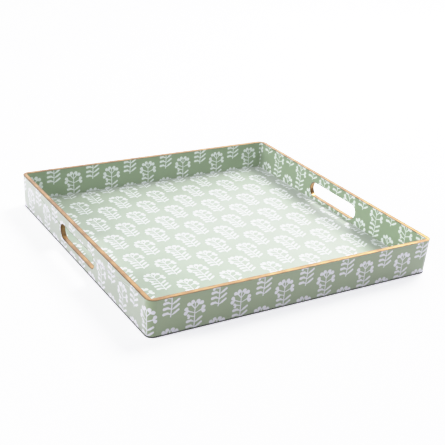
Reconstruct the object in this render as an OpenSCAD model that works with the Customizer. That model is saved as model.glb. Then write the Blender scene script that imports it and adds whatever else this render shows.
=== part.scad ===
// Square serving tray: mitred MDF walls round a base board, covered with printed paper under lacquer,
// with gold on the rim and in the two finger slots, and felt underneath.
// The origin is the centre of the underside. X runs from slot to slot, Y from front to back.

/* [Tray] */
// Width across the rim, along X
tray_w = 457; // [300:1:600]
// Depth across the rim, along Y
tray_d = 457; // [300:1:600]
// Height of the rim above the underside
tray_h = 53.6; // [46:0.2:80]
// How far the foot of each wall stands in from the rim
wall_lean = 2; // [1:0.5:4]
// Radius of the upright corners, at the rim
corner_r = 12; // [10:0.5:12.5]

/* [Walls and base] */
// Thickness of a finished wall, with its paper
wall_t = 7; // [7:0.5:12]
// Thickness of the base board
board_t = 6; // [4:0.5:9]
// How far the base board reaches under the shoulder of each wall. A wider rabbet would break out through
// the round corner.
rabbet_w = 3; // [2:0.5:3]
// Clearance between the edge of the base board and the rabbet
board_gap = 0.2; // [0.1:0.1:0.5]
// Thickness of the felt under the tray
felt_t = 2; // [1:0.5:3]

/* [Finger slots] */
// Length of a slot, over its round ends
slot_l = 123; // [80:1:150]
// Height of a slot
slot_h = 25; // [16:0.5:26]
// Height of a slot's centre above the underside
slot_z = 26.6; // [26:0.2:28]

/* [Paper and gold] */
// Thickness of the printed paper with its lacquer
paper_t = 0.3; // [0.2:0.05:0.5]
// Thickness of the gold coat, with its gesso
gold_t = 0.4; // [0.2:0.05:0.6]

/* [Brads] */
// Diameter of a brad
brad_d = 1.2; // [1:0.1:1.6]
// Length of a brad
brad_l = 18; // [14:1:22]
// Distance from a corner brad's line to the inner face of the core it runs along
brad_edge = 1.3; // [1.1:0.1:1.6]
// How far a corner brad is punched below the core's surface
brad_sink = 0.8; // [0.5:0.1:1.5]
// Distance from the rim's corner to the first base brad
brad_end = 40; // [30:1:60]

/* [Hidden] */

sage = "#93a487";
floor_sage = "#a3b196";
gold = "#b08d57";
mdf = "#b99b74";
steel = "#9a9ca0";
felt = "#1b1b1d";

$fn = 96;
brad_fn = 24;
// Room beyond a face that a cutting solid passes through
over = 5;

half_w = tray_w / 2;
half_d = tray_d / 2;
board_top = felt_t + board_t;
wall_top = tray_h - gold_t;

// Centre of the round corners, which the lean leaves where it is
corner_x = half_w - corner_r;
corner_y = half_d - corner_r;

// Distance in from the rim's outline to a sloping face, at height z, for a face that lies depth behind
// the wall's outer face
function inset_at(depth, z) = depth + wall_lean * (1 - z / tray_h);

core_depth = wall_t - paper_t;
board_inset = inset_at(core_depth, board_top) - rabbet_w;

// Corner brads: two run one way and one the other, and the heights are spread between floor and rim
brad_low = board_top + 6;
brad_high = tray_h - 9;
brad_mid = (brad_low + brad_high) / 2;

// Base brads: the inner pair on a slotted wall keeps clear of the slot
slot_clear = 18;
plain_inner_share = 1 / 3;

// Outline of a wall's section in the plane of its inset and height, between two depths
function band(near, far, low, high) = [
    [inset_at(near, low), low],
    [inset_at(far, low), low],
    [inset_at(far, high), high],
    [inset_at(near, high), high]
];

// A wall core's section: a bar with a sloping inner face and a rabbet cut from its inner foot. It runs
// out past the outer face, which the envelope cuts.
core_section = [
    [-over, felt_t],
    [board_inset, felt_t],
    [board_inset, board_top],
    [inset_at(core_depth, board_top), board_top],
    [inset_at(core_depth, wall_top), wall_top],
    [-over, wall_top]
];

// Draws its children, made for the front, as the wall of the named side
module place(side) {
    if (side == "front") children();
    if (side == "back") rotate([0, 0, 180]) children();
    if (side == "left") rotate([0, 0, -90]) children();
    if (side == "right") rotate([0, 0, 90]) children();
}

// The side walls are the ones with a finger slot
function slotted(side) = side == "left" || side == "right";

// Half the tray across the named wall, and half along it
function across(side) = slotted(side) ? half_w : half_d;
function along(side) = slotted(side) ? half_d : half_w;

// A bar with the given section along the front, over the whole length of the wall
module bar(section, side) {
    translate([-along(side) - over, -across(side), 0])
        rotate([90, 0, 90])
            linear_extrude(height = 2 * (along(side) + over))
                polygon(section);
}

// The part of the front that lies between the two mitre planes
module mitre(side) {
    reach = 3 * wall_t;
    run = along(side);
    out = across(side);
    translate([0, 0, -over])
        linear_extrude(height = tray_h + 2 * over)
            polygon([
                [-run - over, -out - over],
                [run + over, -out - over],
                [run - reach, -out + reach],
                [-run + reach, -out + reach]
            ]);
}

// The whole tray's outer form, a given depth behind its outer face, with round upright corners
module envelope(depth) {
    low_r = corner_r - inset_at(depth, 0);
    top_r = corner_r - depth;
    low_x = corner_x + low_r;
    top_x = corner_x + top_r;
    low_y = corner_y + low_r;
    top_y = corner_y + top_r;
    translate([0, corner_y, 0])
        rotate([90, 0, 0])
            linear_extrude(height = 2 * corner_y)
                polygon([[-low_x, 0], [low_x, 0], [top_x, tray_h], [-top_x, tray_h]]);
    translate([-corner_x, 0, 0])
        rotate([90, 0, 90])
            linear_extrude(height = 2 * corner_x)
                polygon([[-low_y, 0], [low_y, 0], [top_y, tray_h], [-top_y, tray_h]]);
    for (sx = [-1, 1], sy = [-1, 1])
        translate([sx * corner_x, sy * corner_y, 0])
            cylinder(h = tray_h, r1 = low_r, r2 = top_r);
}

// The sharp-cornered hollow inside the tray, up to a given depth behind the outer face
module hollow(depth) {
    low = inset_at(depth, 0);
    low_x = half_w - low;
    top_x = half_w - depth;
    low_y = half_d - low;
    top_y = half_d - depth;
    intersection() {
        translate([0, half_d, 0])
            rotate([90, 0, 0])
                linear_extrude(height = tray_d)
                    polygon([[-low_x, 0], [low_x, 0], [top_x, tray_h], [-top_x, tray_h]]);
        translate([-half_w, 0, 0])
            rotate([90, 0, 90])
                linear_extrude(height = tray_w)
                    polygon([[-low_y, 0], [low_y, 0], [top_y, tray_h], [-top_y, tray_h]]);
    }
}

// A slab over the whole tray between two heights
module slab(low, high) {
    translate([-half_w - over, -half_d - over, low])
        cube([tray_w + 2 * over, tray_d + 2 * over, high - low]);
}

// A bar with round ends that passes through the front, grown all round by a given amount
module slot_bar(side, grow) {
    r = slot_h / 2 + grow;
    run = slot_l / 2 - slot_h / 2;
    length = wall_t + wall_lean + 2 * over;
    translate([0, -across(side) - over, slot_z])
        rotate([-90, 0, 0]) {
            for (end = [-1, 1])
                translate([end * run, 0, 0])
                    cylinder(h = length, r = r);
            translate([-run, -r, 0])
                cube([2 * run, 2 * r, length]);
        }
}

// One brad along +X from the origin
module brad() {
    rotate([0, 90, 0])
        cylinder(h = brad_l, d = brad_d, $fn = brad_fn);
}

// How far off the corner's centre a corner brad's line runs, at height z. It stays near the inner face,
// because further out the round corner would end it short of the mitre.
function brad_off(z) = corner_r - inset_at(core_depth, z) + brad_edge;

// Where a corner brad's head sits along its line, measured from the corner's centre
function head_at(z) =
    sqrt(pow(corner_r - inset_at(paper_t, z), 2) - pow(brad_off(z), 2)) - brad_sink;

// The brads of one corner, in the frame of the +X +Y corner's centre
module corner_nails() {
    for (z = [brad_low, brad_high])
        translate([head_at(z) - brad_l, brad_off(z), z])
            brad();
    translate([brad_off(brad_mid), head_at(brad_mid) - brad_l, brad_mid])
        rotate([0, 0, 90])
            brad();
}

module corner_brad_set() {
    for (sx = [0, 1], sy = [0, 1])
        mirror([sx, 0, 0])
            mirror([0, sy, 0])
                translate([corner_x, corner_y, 0])
                    corner_nails();
}

// The brads under one wall, which stand in the middle of the lap between board and shoulder
module base_nails(side) {
    end = along(side) - brad_end;
    inner = slotted(side) ? slot_l / 2 + slot_clear : end * plain_inner_share;
    for (x = [-end, -inner, inner, end])
        translate([x, -across(side) + board_inset + rabbet_w / 2, felt_t])
            rotate([0, -90, 0])
                brad();
}

module base_brad_set() {
    for (side = ["front", "back", "left", "right"])
        place(side)
            base_nails(side);
}

module wall_core(side) {
    difference() {
        intersection() {
            envelope(paper_t);
            place(side)
                intersection() {
                    bar(core_section, side);
                    mitre(side);
                }
        }
        corner_brad_set();
        base_brad_set();
        if (slotted(side))
            place(side)
                slot_bar(side, 0);
    }
}

module base_board() {
    w = half_w - board_inset - board_gap;
    d = half_d - board_inset - board_gap;
    color(mdf)
        difference() {
            translate([-w, -d, felt_t])
                cube([2 * w, 2 * d, board_t]);
            base_brad_set();
        }
}

module wall_front() {
    color(mdf) wall_core("front");
}

module wall_back() {
    color(mdf) wall_core("back");
}

module wall_left() {
    color(mdf) wall_core("left");
}

module wall_right() {
    color(mdf) wall_core("right");
}

module corner_brads() {
    color(steel) corner_brad_set();
}

module base_brads() {
    color(steel) base_brad_set();
}

module underside_felt() {
    color(felt)
        intersection() {
            envelope(0);
            slab(0, felt_t);
        }
}

// The floor sheet is laid last, so its edges butt against the foot of the inner papers
module floor_paper() {
    w = half_w - inset_at(wall_t, board_top);
    d = half_d - inset_at(wall_t, board_top);
    color(floor_sage)
        translate([-w, -d, board_top])
            cube([2 * w, 2 * d, paper_t]);
}

module inner_paper(side) {
    difference() {
        place(side)
            intersection() {
                bar(band(core_depth, wall_t, board_top, wall_top), side);
                mitre(side);
            }
        if (slotted(side))
            place(side)
                slot_bar(side, 0);
    }
}

module inner_paper_front() {
    color(sage) inner_paper("front");
}

module inner_paper_back() {
    color(sage) inner_paper("back");
}

module inner_paper_left() {
    color(sage) inner_paper("left");
}

module inner_paper_right() {
    color(sage) inner_paper("right");
}

module outer_paper() {
    color(sage)
        difference() {
            intersection() {
                envelope(0);
                slab(felt_t, wall_top);
            }
            envelope(paper_t);
            for (side = ["left", "right"])
                place(side)
                    slot_bar(side, 0);
        }
}

module rim_gilding() {
    color(gold)
        difference() {
            intersection() {
                envelope(0);
                slab(wall_top, tray_h);
            }
            hollow(wall_t);
        }
}

module slot_gilding(side) {
    place(side)
        difference() {
            intersection() {
                slot_bar(side, 0);
                bar(band(0, wall_t, 0, tray_h), side);
            }
            slot_bar(side, -gold_t);
        }
}

module slot_gilding_left() {
    color(gold) slot_gilding("left");
}

module slot_gilding_right() {
    color(gold) slot_gilding("right");
}

base_board();
wall_front();
wall_back();
wall_left();
wall_right();
corner_brads();
base_brads();
underside_felt();
floor_paper();
inner_paper_front();
inner_paper_back();
inner_paper_left();
inner_paper_right();
outer_paper();
rim_gilding();
slot_gilding_left();
slot_gilding_right();
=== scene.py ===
# %% [markdown]
# # A square lacquered tray with a block-printed paper covering
# The tray comes packed as exact solids: fibreboard walls and base, brads, printed paper sheets, gold
# coats and a felt. They are loaded first and never moved. Everything made here takes its place from
# them, and most of the work goes into the finishes: a printed sprig under clear satin lacquer, antique
# gold on the edges, and black felt below.

# %% Load the frame
import math

import bmesh
import bpy
from mathutils import Matrix, Vector, noise


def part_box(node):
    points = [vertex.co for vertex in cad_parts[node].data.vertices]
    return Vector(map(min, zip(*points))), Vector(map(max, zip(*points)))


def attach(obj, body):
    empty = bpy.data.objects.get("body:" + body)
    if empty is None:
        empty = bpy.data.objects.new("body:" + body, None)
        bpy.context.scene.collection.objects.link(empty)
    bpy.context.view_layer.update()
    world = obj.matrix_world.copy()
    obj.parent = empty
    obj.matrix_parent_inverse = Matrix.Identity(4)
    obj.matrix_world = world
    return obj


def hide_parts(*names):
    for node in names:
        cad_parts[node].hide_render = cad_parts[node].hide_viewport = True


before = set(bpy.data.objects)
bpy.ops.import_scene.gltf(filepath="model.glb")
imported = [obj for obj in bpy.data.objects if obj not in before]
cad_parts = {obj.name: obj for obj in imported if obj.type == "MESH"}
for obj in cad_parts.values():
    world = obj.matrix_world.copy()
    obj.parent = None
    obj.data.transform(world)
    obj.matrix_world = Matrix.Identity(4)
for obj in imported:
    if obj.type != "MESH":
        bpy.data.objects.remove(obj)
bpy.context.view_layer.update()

# %% [markdown]
# ## Sizes
# The sizes that the new pieces need are read back from the solids: the rim, the lean of the walls and
# their thickness. They could be typed in again, but then a change in the solids would go unseen. The
# radius of the upright corners can't be read from a box, so it is written here.

# %% Measure the tray
MM = 0.001
CORNER_R = 12 * MM
# Points nearer than this are welded into one
WELD = 0.001 * MM

rim_low, rim_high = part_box("rim_gilding")
felt_low, felt_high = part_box("underside_felt")
sheet_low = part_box("inner_paper_right")[0]

HALF = rim_high.x
TOP = rim_high.z
GOLD_T = rim_high.z - rim_low.z
FELT_T = felt_high.z
LEAN = (HALF - felt_high.x) / (1 - FELT_T / TOP)
WALL_T = HALF - sheet_low.x - LEAN * (1 - sheet_low.z / TOP)
CORNER_C = HALF - CORNER_R


def inset(z):
    """How far the outer face stands in from the rim's outline at height z."""
    return LEAN * (1 - z / TOP)


print(f"rim {2 * HALF / MM:.1f} mm square, {TOP / MM:.1f} mm high")
print(f"wall {WALL_T / MM:.2f} mm thick, leaning {LEAN / MM:.2f} mm")

# %% [markdown]
# ## Helpers for materials
# A material is a small tree of nodes. One function adds a node, sets its properties and fills its
# inputs, each with a value or with another node's output, so a tree reads as a list of steps. Colours
# are written as sRGB hex, as a paint chart gives them, and turned to linear light in one place.

# %% Node and colour helpers


def linear(code):
    """An sRGB hex colour as linear RGBA."""
    channels = [int(code[i:i + 2], 16) / 255 for i in (1, 3, 5)]
    light = [c / 12.92 if c <= 0.04045 else ((c + 0.055) / 1.055) ** 2.4 for c in channels]
    return (*light, 1.0)


def add(tree, kind, settings=None, inputs=None, out=0):
    """Adds a node and returns one of its outputs. Inputs go by name or number, as values or outputs."""
    made = tree.nodes.new(kind)
    for name, value in (settings or {}).items():
        setattr(made, name, value)
    for key, value in (inputs or {}).items():
        socket = made.inputs[key]
        if isinstance(value, bpy.types.NodeSocket):
            tree.links.new(value, socket)
        else:
            socket.default_value = value
    return made.outputs[out] if made.outputs else made


def new_material(name):
    """An empty material with its output node, ready for a shader."""
    material = bpy.data.materials.new(name)
    material.use_nodes = True
    material.node_tree.nodes.clear()
    return material, material.node_tree


def put(material, *objects):
    """Gives whole objects one material."""
    for o in objects:
        o.data.materials.clear()
        o.data.materials.append(material)


print("mid grey in linear light:", round(linear("#808080")[0], 3))

# %% [markdown]
# ## The sprig
# Block prints are cut with a gouge, and each gouge stroke starts thin and swells. So the sprig is drawn
# as tapered strokes: two for the stem, two for each leaf so that it bends, one for each twig, and one
# for each of a blossom's two lobes. A stroke is the set of points within a radius of a line, and the
# radius grows along it. In nodes that is the distance to the line less the radius, and the least value
# over all the strokes is below zero inside the ink. The drawing is a plain folk sprig, in millimetres,
# with its foot at the origin. It could be modelled as thin faces, but a print has no thickness, so it
# belongs in the material, where it bends round corners and stops at each sheet's edge by itself.

# %% Draw the sprig in millimetres
LEAF_STEP = 7.6
LEAF_START = 5.0
LEAF_ROWS = 3

# Each stroke: where it starts, where it ends, and its radius at both
strokes = [((0.0, 0.0), (0.7, 16.0), 0.75, 0.8), ((0.7, 16.0), (0.1, 43.0), 0.8, 0.6)]

for k in range(LEAF_ROWS):
    foot = LEAF_START + LEAF_STEP * k
    strokes.append(((0.2, foot - 1.0), (-4.8, foot + 1.5), 0.5, 1.7))
    strokes.append(((-4.8, foot + 1.5), (-9.6, foot + 0.8), 1.7, 2.1))
    strokes.append(((0.8, foot - 2.2), (5.8, foot + 0.8), 0.5, 1.6))
    strokes.append(((5.8, foot + 0.8), (10.4, foot + 4.0), 1.6, 1.5))

# Each blossom: where its twig leaves the stem, its own foot, its direction in degrees, and its size
blossoms = [
    ((0.1, 38.0), (-4.8, 44.6), 114, 1.05),
    ((0.2, 38.0), (5.4, 43.8), 60, 1.1),
    ((0.3, 31.0), (9.6, 35.0), 4, 1.05),
    ((0.3, 32.0), (-9.4, 36.4), 174, 1.05),
    ((0.5, 26.5), (-6.6, 28.6), 196, 0.7),
]
LOBE_SPREAD = 44
LOBE_REACH = 3.9
LOBE_R = 2.75
LOBE_FOOT_R = 0.9
TWIG_R = (0.55, 0.9)

strokes.append(((0.1, 42.0), (0.3, 47.0), 0.5, 1.1))
for fork, foot, direction, size in blossoms:
    strokes.append((fork, foot, *TWIG_R))
    for side in (-1, 1):
        angle = math.radians(direction + side * LOBE_SPREAD)
        reach = LOBE_REACH * size
        lobe = (foot[0] + math.cos(angle) * reach, foot[1] + math.sin(angle) * reach)
        strokes.append((foot, lobe, LOBE_FOOT_R, LOBE_R * size))

print(f"the sprig has {len(strokes)} strokes")

# %% [markdown]
# ## The repeat
# The paper repeats in a half drop: the sprigs stand in columns, and every second column is lowered by
# half a repeat. The group below folds any point of the sheet, in millimetres, back into one cell, so
# the sprig is drawn once. The point is first nudged by a fine noise, which gives the edges the wobble
# of cut lino, and the ink's edge is a little soft because ink spreads in paper.

# %% Build the print as a node group
COLUMN = 33.85
REPEAT = 66.9
# How far the edge wanders and how wide it fades, in millimetres, and how many wobbles there are to one
EDGE_WOBBLE = 0.5
EDGE_SOFT = 0.16
WOBBLES_PER_MM = 0.45


def make_print_group():
    """A node group that turns the millimetres of a sheet into 1 where there is ink and 0 elsewhere."""
    tree = bpy.data.node_groups.new("half_drop_sprig", "ShaderNodeTree")
    tree.interface.new_socket("Sheet mm", in_out="INPUT", socket_type="NodeSocketVector")
    tree.interface.new_socket("Ink", in_out="OUTPUT", socket_type="NodeSocketFloat")
    sheet = add(tree, "NodeGroupInput")
    shake = add(tree, "ShaderNodeTexNoise",
                inputs={"Vector": sheet, "Scale": WOBBLES_PER_MM, "Detail": 3.0}, out="Color")
    offset = add(tree, "ShaderNodeVectorMath", {"operation": "MULTIPLY_ADD"},
                 {0: shake, 1: (2 * EDGE_WOBBLE,) * 3, 2: (-EDGE_WOBBLE,) * 3})
    point = add(tree, "ShaderNodeVectorMath", {"operation": "ADD"}, {0: sheet, 1: offset})
    x = add(tree, "ShaderNodeSeparateXYZ", inputs={0: point}, out="X")
    y = x.node.outputs["Y"]

    columns = add(tree, "ShaderNodeMath", {"operation": "MULTIPLY_ADD"}, {0: x, 1: 1 / COLUMN, 2: 0.5})
    column = add(tree, "ShaderNodeMath", {"operation": "FLOOR"}, {0: columns})
    cell_x = add(tree, "ShaderNodeMath", {"operation": "MULTIPLY_ADD"}, {0: column, 1: -COLUMN, 2: x})
    odd = add(tree, "ShaderNodeMath", {"operation": "FLOORED_MODULO"}, {0: column, 1: 2.0})
    dropped = add(tree, "ShaderNodeMath", {"operation": "MULTIPLY_ADD"}, {0: odd, 1: REPEAT / 2, 2: y})
    cell_y = add(tree, "ShaderNodeMath", {"operation": "FLOORED_MODULO"}, {0: dropped, 1: REPEAT})
    cell = add(tree, "ShaderNodeCombineXYZ", inputs={0: cell_x, 1: cell_y})

    nearest = None
    for start, end, start_r, end_r in strokes:
        along = Vector((end[0] - start[0], end[1] - start[1], 0))
        away = add(tree, "ShaderNodeVectorMath", {"operation": "SUBTRACT"}, {0: cell, 1: (*start, 0)})
        # How far along the stroke the point lies, from 0 to 1, and from there its distance to the line
        share = add(tree, "ShaderNodeVectorMath", {"operation": "DOT_PRODUCT"},
                    {0: away, 1: along / along.length_squared}, out="Value")
        share = add(tree, "ShaderNodeClamp", inputs={0: share})
        foot = add(tree, "ShaderNodeVectorMath", {"operation": "SCALE"}, {0: along, "Scale": share})
        gap = add(tree, "ShaderNodeVectorMath", {"operation": "DISTANCE"}, {0: away, 1: foot}, out="Value")
        outside = add(tree, "ShaderNodeMath", {"operation": "MULTIPLY_ADD"},
                      {0: share, 1: start_r - end_r, 2: gap})
        outside = add(tree, "ShaderNodeMath", {"operation": "SUBTRACT"}, {0: outside, 1: start_r})
        if nearest is None:
            nearest = outside
        else:
            nearest = add(tree, "ShaderNodeMath", {"operation": "MINIMUM"}, {0: nearest, 1: outside})
    ink = add(tree, "ShaderNodeMapRange", {"interpolation_type": "SMOOTHSTEP"},
              {"Value": nearest, "From Min": EDGE_SOFT, "From Max": -EDGE_SOFT})
    add(tree, "NodeGroupOutput", inputs={"Ink": ink})
    return tree


print_group = make_print_group()
print(f"the print group has {len(print_group.nodes)} nodes")

# %% [markdown]
# ## Printed paper under satin lacquer
# The covering is a printed paper, glued down under several coats of clear lacquer that are rubbed down
# to a satin. The eye gets a matt colour from the paper, a broad soft reflection from the lacquer, and a
# pale haze at low angles from its fine scratches. So the shader is a rough base with a sheen for the
# haze, under a clear coat that has some roughness of its own. A mirror coat was the other way, but it
# shows the walls sharply in the floor. The ground ink is laid a little unevenly, and the pale ink shows
# fine flecks of the ground where the block did not quite print.

# %% Make the printed-paper materials
# Two copies of the same print, each with the ground's light and dark, and the ink where it is full and
# where it is thin. The outer copy is the darker, and that darkening is painted shade on the outer walls'
# paper.
OUTER_RUN_SHADED = ("#6b7d54", "#5f7048", "#b7b6bd", "#a2a6a0")
INNER_RUN = ("#93a983", "#869c77", "#e8eeeb", "#d0d9d2")

# How many of each noise's features go to a millimetre
CLOUDS_PER_MM = 0.035
GRAIN_PER_MM = 1.6
FLECKS_PER_MM = 1.1
RIPPLES_PER_MM = 0.06
GRAIN_SHARE = 0.4


def printed_paper(name, mapping, run):
    """Printed paper under lacquer. mapping(tree) gives the sheet's own millimetres, x along and y up."""
    ground_light, ground_dark, ink_full, ink_thin = [linear(code) for code in run]
    material, tree = new_material(name)
    sheet = mapping(tree)
    ink = add(tree, "ShaderNodeGroup", {"node_tree": print_group}, {"Sheet mm": sheet})

    cloud = add(tree, "ShaderNodeTexNoise", inputs={"Vector": sheet, "Scale": CLOUDS_PER_MM, "Detail": 4.0})
    grain = add(tree, "ShaderNodeTexNoise", inputs={"Vector": sheet, "Scale": GRAIN_PER_MM, "Detail": 2.0})
    lay = add(tree, "ShaderNodeMix", {"data_type": "FLOAT"}, {0: GRAIN_SHARE, 2: cloud, 3: grain})
    ground = add(tree, "ShaderNodeMix", {"data_type": "RGBA"},
                 {0: lay, 6: ground_dark, 7: ground_light}, out=2)

    flecks = add(tree, "ShaderNodeTexNoise", inputs={
        "Vector": sheet, "Scale": FLECKS_PER_MM, "Detail": 5.0, "Roughness": 0.7})
    thin = add(tree, "ShaderNodeMapRange", inputs={"Value": flecks, "From Min": 0.52, "From Max": 0.68})
    inked = add(tree, "ShaderNodeMix", {"data_type": "RGBA"},
                {0: thin, 6: ink_full, 7: ink_thin}, out=2)
    colour = add(tree, "ShaderNodeMix", {"data_type": "RGBA"}, {0: ink, 6: ground, 7: inked}, out=2)

    # Lacquer keeps a long, shallow ripple from the board under it
    ripple = add(tree, "ShaderNodeTexNoise", inputs={
        "Vector": sheet, "Scale": RIPPLES_PER_MM, "Detail": 1.0})
    bump = add(tree, "ShaderNodeBump", inputs={"Strength": 0.05, "Distance": 1 * MM, "Height": ripple})
    shader = add(tree, "ShaderNodeBsdfPrincipled", inputs={
        "Base Color": colour, "Roughness": 0.5, "IOR": 1.5,
        "Sheen Weight": 1.0, "Sheen Roughness": 0.5, "Sheen Tint": linear("#f8f2ff"),
        "Coat Weight": 1.0, "Coat Roughness": 0.45, "Coat IOR": 1.5, "Normal": bump, "Coat Normal": bump})
    add(tree, "ShaderNodeOutputMaterial", inputs={"Surface": shader})
    return material


def flat_sheet(along, up, foot):
    """A flat sheet's millimetres, counted from the foot of a sprig. along and up are unit directions."""
    def mapping(tree):
        place = add(tree, "ShaderNodeTexCoord", out="Object")
        x = add(tree, "ShaderNodeVectorMath", {"operation": "DOT_PRODUCT"},
                {0: place, 1: tuple(c / MM for c in along)}, out="Value")
        y = add(tree, "ShaderNodeVectorMath", {"operation": "DOT_PRODUCT"},
                {0: place, 1: tuple(c / MM for c in up)}, out="Value")
        point = add(tree, "ShaderNodeCombineXYZ", inputs={0: x, 1: y})
        return add(tree, "ShaderNodeVectorMath", {"operation": "SUBTRACT"}, {0: point, 1: (*foot, 0)})
    return mapping


# For each sheet: the direction along it as it is looked at, the direction up, and where the foot of one
# sprig comes, in millimetres, which says how the paper was cut
sheets = {
    "floor_paper": ((1, 0, 0), (0, 1, 0), (-154.7, -1.7)),
    "inner_paper_front": ((-1, 0, 0), (0, 0, 1), (-20.0, -3.0)),
    "inner_paper_back": ((1, 0, 0), (0, 0, 1), (-7.8, -4.4)),
    "inner_paper_left": ((0, 1, 0), (0, 0, 1), (-12.0, -2.0)),
    "inner_paper_right": ((0, -1, 0), (0, 0, 1), (-25.0, 6.6)),
}
for node_name, (along, up, foot) in sheets.items():
    finish = printed_paper("lacquered_" + node_name, flat_sheet(along, up, foot), INNER_RUN)
    put(finish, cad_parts[node_name])
    print("printed", node_name)

# %% [markdown]
# ## Finishing a piece
# Every new piece goes through the same last steps: its bmesh becomes a mesh, it gets its finish, it rides
# on the tray's only body, and the solids it stands for are hidden. One function does all of that, so that
# no piece misses a step.

# %% Finish a piece


def finish_piece(name, bm, slot, material, *stands_for):
    """Turns a bmesh into a piece that rides on the tray and stands for CAD nodes."""
    mesh = bpy.data.meshes.new(name)
    bm.to_mesh(mesh)
    bm.free()
    piece = bpy.data.objects.new(name, mesh)
    bpy.context.scene.collection.objects.link(piece)
    put(material, piece)
    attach(piece, "root")
    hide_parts(*stands_for)
    print(f"{name}: {len(mesh.polygons)} faces")
    return piece


print("new pieces ride on root")

# %% [markdown]
# ## The outer wrap
# One long strip goes round the outside. Its print runs on round the upright corners, so it can't be
# placed by X and Y: the pattern needs the distance along the strip. The wrap is a copy of the packed
# strip, welded, with a UV map in millimetres that unrolls it. Each triangle lies on one flat wall or on
# one corner, so its middle says which rule its points take. The strip's two ends meet at the corner
# that is seen least, between the back and the left wall.

# %% Unroll the outer strip
SIDE_RUN = 2 * CORNER_C
CORNER_RUN = CORNER_R * math.pi / 2
QUARTER = SIDE_RUN + CORNER_RUN
WRAP_FOOT = (-163.3, -8.4)


def strip_place(point, middle):
    """Metres along the strip, counted anticlockwise from the middle of the front wall."""
    quarter = 0
    # A quarter is a wall with the corner after it. Turn the tray until this one is in front
    while not (middle.y < -CORNER_C and middle.x > -CORNER_C):
        middle = Vector((middle.y, -middle.x, middle.z))
        point = Vector((point.y, -point.x, point.z))
        quarter += 1
    if quarter == 3:
        quarter = -1
    if middle.x <= CORNER_C:
        return point.x + quarter * QUARTER
    angle = math.atan2(point.x - CORNER_C, -point.y - CORNER_C)
    return CORNER_C + CORNER_R * angle + quarter * QUARTER


def strip_map(tree):
    """The millimetres of the unrolled strip, counted from the foot of a sprig."""
    place = add(tree, "ShaderNodeUVMap", {"uv_map": "strip_mm"})
    return add(tree, "ShaderNodeVectorMath", {"operation": "SUBTRACT"}, {0: place, 1: (*WRAP_FOOT, 0)})


bm = bmesh.new()
bm.from_mesh(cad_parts["outer_paper"].data)
bmesh.ops.remove_doubles(bm, verts=bm.verts, dist=WELD)
strip_uv = bm.loops.layers.uv.new("strip_mm")
for face in bm.faces:
    middle = face.calc_center_median()
    for loop in face.loops:
        along = strip_place(loop.vert.co, middle)
        loop[strip_uv].uv = (along / MM, loop.vert.co.z / MM)
# The wrap takes the darker copy of the print, which is painted shade on the outer walls
wrap_finish = printed_paper("lacquered_outer_wrap_shaded", strip_map, OUTER_RUN_SHADED)
finish_piece("outer_print", bm, "printed_paper", wrap_finish, "outer_paper")
print(f"the strip is {4 * QUARTER / MM:.0f} mm long")

# %% [markdown]
# ## Antique gold
# The rim and the slots are coated with gold size and bronze powder, then glazed brown, and the glaze is
# wiped off again so that it stays in small pits. The coat also turns umber towards both sides of its
# section, over the shoulders and down the laps: that is painted shade, and the bright strip left down the
# middle is a painted highlight. It could be a plain metal, but a brushed coat is never even: its colour
# drifts from bright brass to umber, and the bristles leave lines along the stroke, which soften the
# highlight across it. The lines are 0.5 mm apart, coarser than a real brush's, so that they show.

# %% Make the gold material
GOLD_BRIGHT = "#b99560"
GOLD_DEEP = "#84603a"
# The umber serves both as the glaze left in the pits and as the painted shade on the sides of the coat
GLAZE_AND_SHADE = "#4a3521"

# How many features go to a millimetre: bristle lines along and across the stroke, drift and pits
BRISTLES_PER_MM = (0.06, 2.0, 1.0)
DRIFT_PER_MM = 0.05
PITS_PER_MM = 0.9
BRISTLE_SHARE = 0.5

# Where the middle of the gold band comes, in millimetres round its section, and how far off the middle the
# coat stays bright before the painted shade of its sides begins
BAND_MIDDLE = 4.3
UNSHADED_REACH = 1.0


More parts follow.
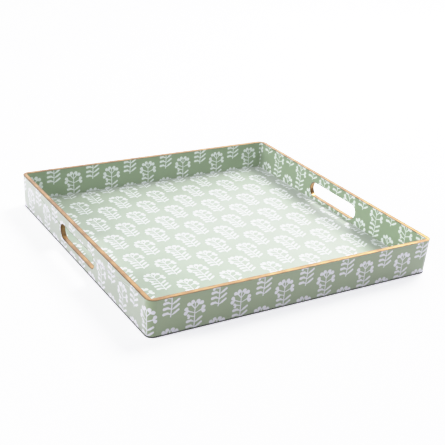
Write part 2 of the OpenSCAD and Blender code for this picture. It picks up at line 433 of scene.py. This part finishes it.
def antique_gold(name, uv_map):
    """Brushed gold coat. The UV map runs along the stroke and across it, in millimetres."""
    material, tree = new_material(name)
    place = add(tree, "ShaderNodeUVMap", {"uv_map": uv_map})
    drawn = add(tree, "ShaderNodeMapping", inputs={"Vector": place, "Scale": BRISTLES_PER_MM})
    bristles = add(tree, "ShaderNodeTexNoise", inputs={"Vector": drawn, "Scale": 1.0, "Detail": 4.0})
    drift = add(tree, "ShaderNodeTexNoise", inputs={"Vector": place, "Scale": DRIFT_PER_MM, "Detail": 3.0})
    pits = add(tree, "ShaderNodeTexNoise", inputs={"Vector": place, "Scale": PITS_PER_MM, "Detail": 4.0})
    tone = add(tree, "ShaderNodeMix", {"data_type": "FLOAT"}, {0: BRISTLE_SHARE, 2: drift, 3: bristles})
    tone = add(tree, "ShaderNodeMapRange", inputs={"Value": tone, "From Min": 0.38, "From Max": 0.62})
    gold = add(tree, "ShaderNodeMix", {"data_type": "RGBA"},
               {0: tone, 6: linear(GOLD_DEEP), 7: linear(GOLD_BRIGHT)}, out=2)
    worn = add(tree, "ShaderNodeMapRange", inputs={
        "Value": pits, "From Min": 0.58, "From Max": 0.78, "To Max": 0.7})
    across = add(tree, "ShaderNodeSeparateXYZ", inputs={0: place}, out="Y")
    off_middle = add(tree, "ShaderNodeMath", {"operation": "SUBTRACT"}, {0: across, 1: BAND_MIDDLE})
    off_middle = add(tree, "ShaderNodeMath", {"operation": "ABSOLUTE"}, {0: off_middle})
    # Painted shade: the coat turns umber towards both sides of its section, which leaves a painted
    # highlight down its middle
    side_shade = add(tree, "ShaderNodeMapRange", {"interpolation_type": "SMOOTHSTEP"},
                  {"Value": off_middle, "From Min": UNSHADED_REACH, "From Max": BAND_MIDDLE, "To Max": 0.75})
    pits_and_side_shade = add(tree, "ShaderNodeMath", {"operation": "MAXIMUM"}, {0: worn, 1: side_shade})
    colour = add(tree, "ShaderNodeMix", {"data_type": "RGBA"},
                 {0: pits_and_side_shade, 6: gold, 7: linear(GLAZE_AND_SHADE)}, out=2)
    rough = add(tree, "ShaderNodeMapRange", inputs={"Value": bristles, "To Min": 0.28, "To Max": 0.5})
    bump = add(tree, "ShaderNodeBump", inputs={"Strength": 0.3, "Distance": 0.05 * MM, "Height": bristles})
    shader = add(tree, "ShaderNodeBsdfPrincipled", inputs={
        "Base Color": colour, "Metallic": 0.9, "Roughness": rough,
        "Coat Weight": 0.3, "Coat Roughness": 0.1, "Normal": bump})
    add(tree, "ShaderNodeOutputMaterial", inputs={"Surface": shader})
    return material


gold = antique_gold("antique_gold_coat", "stroke_mm")
print(f"the gold has {len(gold.node_tree.nodes)} nodes")

# %% [markdown]
# ## The gilt rim
# The gold rounds the top edge of the walls and laps a little way down both faces, over the cut edge of
# the papers, with the slight waver of a hand and brush. Solidify on a flat ring would give hard edges,
# so the coat is a closed tube instead: a flat grid is bent round, one way along the rim and the other
# way over its section. At a corner the section fans out from the corner's centre, round outside and
# sharp inside.

# %% Sizes of the rim's coat
# How far the coat laps over the papers, how much that wavers, how proud of them it stands, and how far
# in its shoulders round over
LAP = 0.5 * MM
LAP_WAVER = 0.25 * MM
COAT = 0.06 * MM
SHOULDER = 0.5 * MM
SIDE_STEPS = 72
CORNER_STEPS = 12
ARC_STEPS = 4
# The lap's waver is read off a noise along this ring, and a second ring for the inner lap
WAVER_RING = 40
OTHER_RING = 9

print(f"the coat laps {LAP / MM:.1f} mm over the papers, give or take {LAP_WAVER / MM:.2f} mm")

# %% Bend a grid into a tube


def bent_grid(columns, rows, place, uv_name):
    """A closed tube from a flat grid. place(column, row) gives a point and its place in the UV map."""
    bm = bmesh.new()
    bmesh.ops.create_grid(bm, x_segments=columns, y_segments=rows, size=0.5)
    layer = bm.loops.layers.uv.new(uv_name)
    spots = {v: place(round((v.co.x + 0.5) * columns), round((v.co.y + 0.5) * rows)) for v in bm.verts}
    for face in bm.faces:
        face.smooth = True
        for loop in face.loops:
            loop[layer].uv = [c / MM for c in spots[loop.vert][1]]
    for v, (point, _) in spots.items():
        v.co = point
    bmesh.ops.remove_doubles(bm, verts=bm.verts, dist=WELD)
    bmesh.ops.recalc_face_normals(bm, faces=bm.faces)
    return bm


def rounded(first, corner, last, steps=ARC_STEPS):
    """Points along a soft corner, as a quadratic curve from first to last."""
    points = []
    for k in range(steps + 1):
        t = k / steps
        weights = ((1 - t) ** 2, 2 * t * (1 - t), t * t)
        points.append(tuple(sum(w * p[i] for w, p in zip(weights, (first, corner, last))) for i in (0, 1)))
    return points


print("a soft corner:", [tuple(round(c, 2) for c in p) for p in rounded((0, 0), (0, 1), (1, 1))])

# %% Lay out the rim's plan and section


def rim_place_on_plan(column, depth):
    """A point of the rim's plan and its distance along, at a depth in from the outline."""
    quarter, step = divmod(column, SIDE_STEPS + CORNER_STEPS)
    if step <= SIDE_STEPS:
        along = (step / SIDE_STEPS - 0.5) * SIDE_RUN
        x, y = along, -HALF + depth
        run = along
    else:
        angle = (step - SIDE_STEPS) / CORNER_STEPS * math.pi / 2
        # Fanned out from the corner's centre, the outline is round and the inner edge is square
        inner = (CORNER_R - WALL_T) / max(math.sin(angle), math.cos(angle))
        reach = CORNER_R + (inner - CORNER_R) * depth / WALL_T
        x = CORNER_C + reach * math.sin(angle)
        y = -CORNER_C - reach * math.cos(angle)
        run = CORNER_C + CORNER_R * angle
    spot = Matrix.Rotation(quarter * math.pi / 2, 2) @ Vector((x, y))
    return spot, run + quarter * QUARTER


lap_z = TOP - LAP
seat_z = TOP - GOLD_T
outer_face = (inset(lap_z) - COAT, lap_z)
rim_section = [(inset(lap_z), lap_z), outer_face]
rim_section += rounded((-COAT, TOP - SHOULDER), (-COAT, TOP), (SHOULDER, TOP))
rim_section += [(WALL_T / 2, TOP)]
rim_section += rounded((WALL_T - SHOULDER, TOP), (WALL_T + COAT, TOP), (WALL_T + COAT, TOP - SHOULDER))
rim_section += [(WALL_T + inset(lap_z) + COAT, lap_z), (WALL_T + inset(lap_z), lap_z)]
rim_section += [(WALL_T + inset(seat_z), seat_z), (inset(seat_z), seat_z), rim_section[0]]
section_run = [0.0]
for (a, b), (c, d) in zip(rim_section, rim_section[1:]):
    section_run.append(section_run[-1] + math.hypot(c - a, d - b))
print(f"the rim's section is {section_run[-1] / MM:.1f} mm round")

# %% Gild the rim


def rim_place(column, row):
    """A point of the rim's coat and its place in the UV map."""
    depth, z = rim_section[row]
    spot, run = rim_place_on_plan(column, depth)
    if z < seat_z:
        side = 0 if depth < WALL_T / 2 else 1
        turn = run / (4 * QUARTER) * 2 * math.pi
        ring = Vector((math.cos(turn) * WAVER_RING, math.sin(turn) * WAVER_RING, side * OTHER_RING))
        z += LAP_WAVER * noise.noise(ring)
    return Vector((*spot, z)), (run, section_run[row])


rim_tube = bent_grid(4 * (SIDE_STEPS + CORNER_STEPS), len(rim_section) - 1, rim_place, "stroke_mm")
finish_piece("rim_gilt", rim_tube, "gilding", gold, "rim_gilding")

# %% [markdown]
# ## The gilt slots
# Each finger slot is lined with the same gold, brushed round the opening. The lining follows the slot's
# outline, a straight run between two half circles, and its edges are rounded where the brush turned
# over them, so they catch the light. It is the same bent grid with another path and section.

# %% Bend a grid round each slot
SLOT_SIDE_STEPS = 24
SLOT_ARC_STEPS = 16
EDGE_R = 0.2 * MM

lining_low, lining_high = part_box("slot_gilding_right")
slot_r = (lining_high.z - lining_low.z) / 2
slot_middle_z = (lining_high.z + lining_low.z) / 2
slot_run = lining_high.y - lining_low.y - 2 * slot_r
print(f"slot {(slot_run + 2 * slot_r) / MM:.1f} x {2 * slot_r / MM:.1f} mm")
print(f"its middle is {slot_middle_z / MM:.1f} mm up")

slot_section = [(0.0, 0.0), (0.0, -EDGE_R / 4)]
slot_section += rounded((EDGE_R, -EDGE_R / 2), (GOLD_T, -EDGE_R / 2), (GOLD_T, EDGE_R))
slot_section += [(GOLD_T, WALL_T / 2)]
inner_lip = WALL_T + EDGE_R / 2
slot_section += rounded((GOLD_T, WALL_T - EDGE_R), (GOLD_T, inner_lip), (EDGE_R, inner_lip))
slot_section += [(0.0, WALL_T + EDGE_R / 4), (0.0, WALL_T), (0.0, WALL_T / 2), (0.0, 0.0)]
slot_section_run = [0.0]
for (a, b), (c, d) in zip(slot_section, slot_section[1:]):
    slot_section_run.append(slot_section_run[-1] + math.hypot(c - a, d - b))


def slot_place(side):
    """The lining's placing function for the right slot, side 1, or the left slot, side -1."""
    def place(column, row):
        inward, depth = slot_section[row]
        half, step = divmod(column, SLOT_SIDE_STEPS + SLOT_ARC_STEPS)
        if step <= SLOT_SIDE_STEPS:
            run = (step / SLOT_SIDE_STEPS - 0.5) * slot_run
            y, z = run, -(slot_r - inward)
        else:
            angle = (step - SLOT_SIDE_STEPS) / SLOT_ARC_STEPS * math.pi
            y = slot_run / 2 + (slot_r - inward) * math.sin(angle)
            z = -(slot_r - inward) * math.cos(angle)
            run = slot_run / 2 + slot_r * angle
        if half % 2:
            y, z = -y, -z
        z += slot_middle_z
        x = side * (HALF - inset(z) - depth)
        return Vector((x, y, z)), (run + half * (slot_run + slot_r * math.pi), slot_section_run[row])
    return place


columns = 2 * (SLOT_SIDE_STEPS + SLOT_ARC_STEPS)
for side, side_name in ((1, "right"), (-1, "left")):
    lining = bent_grid(columns, len(slot_section) - 1, slot_place(side), "stroke_mm")
    finish_piece("slot_gilt_" + side_name, lining, "gilding", gold, "slot_gilding_" + side_name)

# %% [markdown]
# ## The felt underneath
# A sheet of pressed wool felt keeps the tray from scratching a table. It is cut a little soft at the
# edge, so the block is rounded twice with bevels: upright edges for the plan, then the two rims. Felt
# has no weave: short fibres lie every way, which is a fine noise of light and dark with a dusty sheen.

# %% Cut the felt
FELT_PLAN_R = 10.1 * MM
FELT_EDGE_R = 0.4 * MM
PLAN_STEPS = 12
EDGE_STEPS = 3
# Edges sharper than this are rounded, and faces more level than this are shaded flat
SHARP = math.radians(60)
LEVEL = 0.99

bm = bmesh.new()
bmesh.ops.create_cube(bm, size=1.0)
felt_size = felt_high - felt_low
bmesh.ops.scale(bm, vec=felt_size, verts=bm.verts)
bmesh.ops.translate(bm, vec=(felt_low + felt_high) / 2, verts=bm.verts)
upright = [e for e in bm.edges if abs(e.verts[0].co.z - e.verts[1].co.z) > FELT_T / 2]
bmesh.ops.bevel(bm, geom=upright, affect="EDGES", offset=FELT_PLAN_R,
                segments=PLAN_STEPS, profile=0.5, material=-1)
rims = [e for e in bm.edges if len(e.link_faces) == 2 and e.calc_face_angle() > SHARP]
bmesh.ops.bevel(bm, geom=rims, affect="EDGES", offset=FELT_EDGE_R,
                segments=EDGE_STEPS, profile=0.5, material=-1)
for face in bm.faces:
    face.smooth = abs(face.normal.z) < LEVEL
print(f"the cut felt has {len(bm.faces)} faces")

# %% Make the felt material and lay the felt
material, tree = new_material("pressed_wool_felt")
place = add(tree, "ShaderNodeTexCoord", out="Object")
# A wool fibre is finer than this, but the mat of them shows clumps of about this size
FIBRE_MM = 0.35
LINT_MM = 6
LINT_SHARE = 0.35
fibres = add(tree, "ShaderNodeTexNoise", inputs={
    "Vector": place, "Scale": 1 / (FIBRE_MM * MM), "Detail": 6.0, "Roughness": 0.7, "Distortion": 1.5})
lint = add(tree, "ShaderNodeTexNoise", inputs={"Vector": place, "Scale": 1 / (LINT_MM * MM), "Detail": 3.0})
mixed = add(tree, "ShaderNodeMix", {"data_type": "FLOAT"}, {0: LINT_SHARE, 2: fibres, 3: lint})
felt_colour = add(tree, "ShaderNodeMix", {"data_type": "RGBA"},
                  {0: mixed, 6: linear("#0d0d0f"), 7: linear("#202024")}, out=2)
bump = add(tree, "ShaderNodeBump", inputs={"Strength": 0.6, "Distance": 0.2 * MM, "Height": fibres})
shader = add(tree, "ShaderNodeBsdfPrincipled", inputs={
    "Base Color": felt_colour, "Roughness": 0.95, "Normal": bump,
    "Sheen Weight": 0.12, "Sheen Roughness": 0.6})
add(tree, "ShaderNodeOutputMaterial", inputs={"Surface": shader})

felt_pad = finish_piece("felt_pad", bm, "felt", material, "underside_felt")

# %% [markdown]
# ## Inside the walls
# The walls and the base are fibreboard: brown wood fibres in resin, smooth, with short pale and dark
# flecks. The brads are plain steel wire, dull and a little scored from the die it was drawn through.
# Both lie under the paper, yet they get a true finish, because someone may take the tray apart.

# %% Make the fibreboard
material, tree = new_material("medium_density_fibreboard")
place = add(tree, "ShaderNodeTexCoord", out="Object")
FLECK_MM = 0.8
CLOUD_MM = 25
CLOUD_SHARE = 0.3
flecks = add(tree, "ShaderNodeTexNoise", inputs={
    "Vector": place, "Scale": 1 / (FLECK_MM * MM), "Detail": 5.0, "Roughness": 0.65, "Distortion": 0.8})
cloud = add(tree, "ShaderNodeTexNoise", inputs={
    "Vector": place, "Scale": 1 / (CLOUD_MM * MM), "Detail": 2.0})
mixed = add(tree, "ShaderNodeMix", {"data_type": "FLOAT"}, {0: CLOUD_SHARE, 2: flecks, 3: cloud})
spread = add(tree, "ShaderNodeMapRange", inputs={"Value": mixed, "From Min": 0.35, "From Max": 0.65})
board_colour = add(tree, "ShaderNodeMix", {"data_type": "RGBA"},
                   {0: spread, 6: linear("#a98c66"), 7: linear("#cfb48c")}, out=2)
bump = add(tree, "ShaderNodeBump", inputs={"Strength": 0.3, "Distance": 0.05 * MM, "Height": flecks})
shader = add(tree, "ShaderNodeBsdfPrincipled", inputs={
    "Base Color": board_colour, "Roughness": 0.75, "Normal": bump})
add(tree, "ShaderNodeOutputMaterial", inputs={"Surface": shader})
board_names = ("base_board", "wall_front", "wall_back", "wall_left", "wall_right")
put(material, *[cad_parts[n] for n in board_names])
print("fibreboard on", *board_names)

# %% Make the wire
material, tree = new_material("drawn_steel_wire")
place = add(tree, "ShaderNodeTexCoord", out="Object")
SCORE_MM = 0.2
draw = add(tree, "ShaderNodeTexNoise", inputs={
    "Vector": place, "Scale": 1 / (SCORE_MM * MM), "Detail": 3.0})
steel = add(tree, "ShaderNodeMix", {"data_type": "RGBA"},
            {0: draw, 6: linear("#8d9094"), 7: linear("#b9bcc0")}, out=2)
rough = add(tree, "ShaderNodeMapRange", inputs={"Value": draw, "To Min": 0.25, "To Max": 0.45})
shader = add(tree, "ShaderNodeBsdfPrincipled", inputs={
    "Base Color": steel, "Metallic": 1.0, "Roughness": rough})
add(tree, "ShaderNodeOutputMaterial", inputs={"Surface": shader})
put(material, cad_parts["corner_brads"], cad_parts["base_brads"])
print("steel wire on the brads")

# %% [markdown]
# ## The table
# The tray stands on a plain pale table that runs far out on all sides, so that no edge shows. A white
# table under soft light still has shadows, so its paint glows a little, which keeps them pale, and it
# glows more further out, where the lamps fade. A glass table lit from below does the same.

# %% Lay the table
TABLE_SIZE = 24.0
TABLE_DROP = 0.1 * MM

bm = bmesh.new()
bmesh.ops.create_grid(bm, x_segments=1, y_segments=1, size=TABLE_SIZE / 2)
bmesh.ops.translate(bm, vec=(0, 0, -TABLE_DROP), verts=bm.verts)
mesh = bpy.data.meshes.new("table_top")
bm.to_mesh(mesh)
bm.free()
table_top = bpy.data.objects.new("table_top", mesh)
bpy.context.scene.collection.objects.link(table_top)
print(f"the table is {TABLE_SIZE:.0f} m square")

# %% Paint the table
TABLE_GLOW = 0.52
FAR_GLOW = 1.0
GLOW_RISES = (1.3, 4.5)
MOTTLES_PER_M = 3.0

material, tree = new_material("matt_white_table")
place = add(tree, "ShaderNodeTexCoord", out="Object")
mottle = add(tree, "ShaderNodeTexNoise", inputs={"Vector": place, "Scale": MOTTLES_PER_M, "Detail": 2.0})
white = add(tree, "ShaderNodeMix", {"data_type": "RGBA"},
            {0: mottle, 6: linear("#f1f1f3"), 7: linear("#f5f5f7")}, out=2)
shader = add(tree, "ShaderNodeBsdfPrincipled", inputs={"Base Color": white, "Roughness": 0.9})
reach = add(tree, "ShaderNodeVectorMath", {"operation": "LENGTH"}, {0: place}, out="Value")
glow = add(tree, "ShaderNodeMapRange", inputs={
    "Value": reach, "From Min": GLOW_RISES[0], "From Max": GLOW_RISES[1],
    "To Min": TABLE_GLOW, "To Max": FAR_GLOW})
tree.links.new(glow, shader.node.inputs["Emission Strength"])
shader.node.inputs["Emission Color"].default_value = linear("#fcfcff")
add(tree, "ShaderNodeOutputMaterial", inputs={"Surface": shader})
put(material, table_top)
print(f"it glows from {TABLE_GLOW} by the tray to {FAR_GLOW} far out")

# %% [markdown]
# ## The light
# Satin lacquer spreads what it reflects, so the room is part of the finish. A smooth glow behind the
# tray gives the floor its pale haze, a weaker one lifts its right-hand side, and a wide one in front
# fills the walls. Two large soft lamps, one low on the left and one high on the right, light the side
# walls. The glows could be area lamps too, but a lamp's edge would show in the lacquer, and a smooth
# glow in the world has none. Past the table's edge the eye meets a plain pale wall. Light Path shows
# that wall to the camera only, so it sheds no light on the tray.

# %% Fill the world with glows
world = bpy.data.worlds.new("studio")
bpy.context.scene.world = world
world.use_nodes = True
tree = world.node_tree
tree.nodes.clear()
direction = add(tree, "ShaderNodeTexCoord", out="Generated")

# The light that comes evenly from everywhere, and how bright the wall looks
ROOM = 0.02
BACKDROP = 1.4

# Each glow: the direction it comes from, its half width in degrees where it starts and where it is full,
# and its strength
glows = [
    ((0.28, 0.84, 0.44), 33, 4, 1.9),
    ((0.68, 0.60, 0.42), 26, 4, 1.1),
    ((-0.3, -0.9, 0.4), 65, 10, 1.2),
]
strength = ROOM
for toward, starts, full, power in glows:
    facing = add(tree, "ShaderNodeVectorMath", {"operation": "DOT_PRODUCT"},
                 {0: direction, 1: Vector(toward).normalized()}, out="Value")
    glow = add(tree, "ShaderNodeMapRange", {"interpolation_type": "SMOOTHSTEP"}, {
        "Value": facing, "To Max": power,
        "From Min": math.cos(math.radians(starts)), "From Max": math.cos(math.radians(full))})
    strength = add(tree, "ShaderNodeMath", {"operation": "ADD"}, {0: strength, 1: glow})
seen = add(tree, "ShaderNodeLightPath", out="Is Camera Ray")
strength = add(tree, "ShaderNodeMix", {"data_type": "FLOAT"}, {0: seen, 2: strength, 3: BACKDROP})
background = add(tree, "ShaderNodeBackground", inputs={"Color": linear("#f8f8ff"), "Strength": strength})
add(tree, "ShaderNodeOutputWorld", inputs={"Surface": background})
print(f"{len(glows)} glows in the world")

# %% Hang the lamps
# Each lamp: a large soft disc, where it stands, in metres, and its power in watts
lamps = {
    "lamp_back_left": ((-2.3, 0.5, 0.9), 47),
    "lamp_right": ((1.7, 0.7, 2.0), 72),
}
LAMP_SIZE = 1.4
for lamp_name, (stand, power) in lamps.items():
    lamp_data = bpy.data.lights.new(lamp_name, "AREA")
    lamp_data.shape = "DISK"
    lamp_data.size = LAMP_SIZE
    lamp_data.energy = power
    lamp = bpy.data.objects.new(lamp_name, lamp_data)
    bpy.context.scene.collection.objects.link(lamp)
    facing = Vector(stand).to_track_quat("Z", "Y").to_matrix().to_4x4()
    lamp.matrix_world = Matrix.Translation(stand) @ facing
    print(f"{lamp_name}: {power} W")

# %% [markdown]
# ## The camera
# A long lens looks down from the front on the left, tipped by a few degrees, as for a catalogue. The
# distance is given in rim widths, so it would suit another size of tray. A matrix places the camera in
# one step. Euler angles would do as well, but the tip is easier to write as a last turn.

# %% Place the camera
VIEW_AZIMUTH = math.radians(-32.19)
VIEW_ELEVATION = math.radians(24.06)
VIEW_ROLL = math.radians(4.13)
RIM = 2 * HALF
VIEW_DISTANCE = 3.1624 * RIM
AIM = Vector((0.0817, 0.0904, 0)) * RIM

camera_data = bpy.data.cameras.new("camera")
camera_data.lens = 73.3
camera_data.sensor_width = 36
camera = bpy.data.objects.new("camera", camera_data)
bpy.context.scene.collection.objects.link(camera)
level_back = Vector((math.sin(VIEW_AZIMUTH), -math.cos(VIEW_AZIMUTH), 0))
back = level_back * math.cos(VIEW_ELEVATION) + Vector((0, 0, math.sin(VIEW_ELEVATION)))
turned = (-back).to_track_quat("-Z", "Y").to_matrix() @ Matrix.Rotation(VIEW_ROLL, 3, "Z")
camera.matrix_world = Matrix.Translation(AIM + back * VIEW_DISTANCE) @ turned.to_4x4()
bpy.context.scene.camera = camera
print(f"the camera is {VIEW_DISTANCE:.2f} m off")

# %% [markdown]
# ## The film
# Without a soft shoulder, everything brighter than white clips to a flat patch. The curve is straight up
# to the knee, so the mid tones stay true, and from there it bends over towards white.

# %% Bend the highlights
KNEE = 0.7
BRIGHTEST = 2.0
BEND_POINTS = 8
# Above 1, the points crowd towards the knee, where the curve bends most
CROWDING = 1.5

settings = bpy.context.scene.view_settings
settings.view_transform = "Standard"
settings.use_curve_mapping = True
settings.curve_mapping.white_level = (BRIGHTEST,) * 3
film = settings.curve_mapping.curves[3]
film.points[0].location = (0, 0)
film.points[1].location = (1, 1)
film.points.new(KNEE / 2 / BRIGHTEST, KNEE / 2)
for k in range(BEND_POINTS):
    level = KNEE + (BRIGHTEST - KNEE) * (k / BEND_POINTS) ** CROWDING
    film.points.new(level / BRIGHTEST, KNEE + (1 - KNEE) * (1 - math.exp((KNEE - level) / (1 - KNEE))))
settings.curve_mapping.update()
print(f"the highlights bend over {len(film.points)} points")
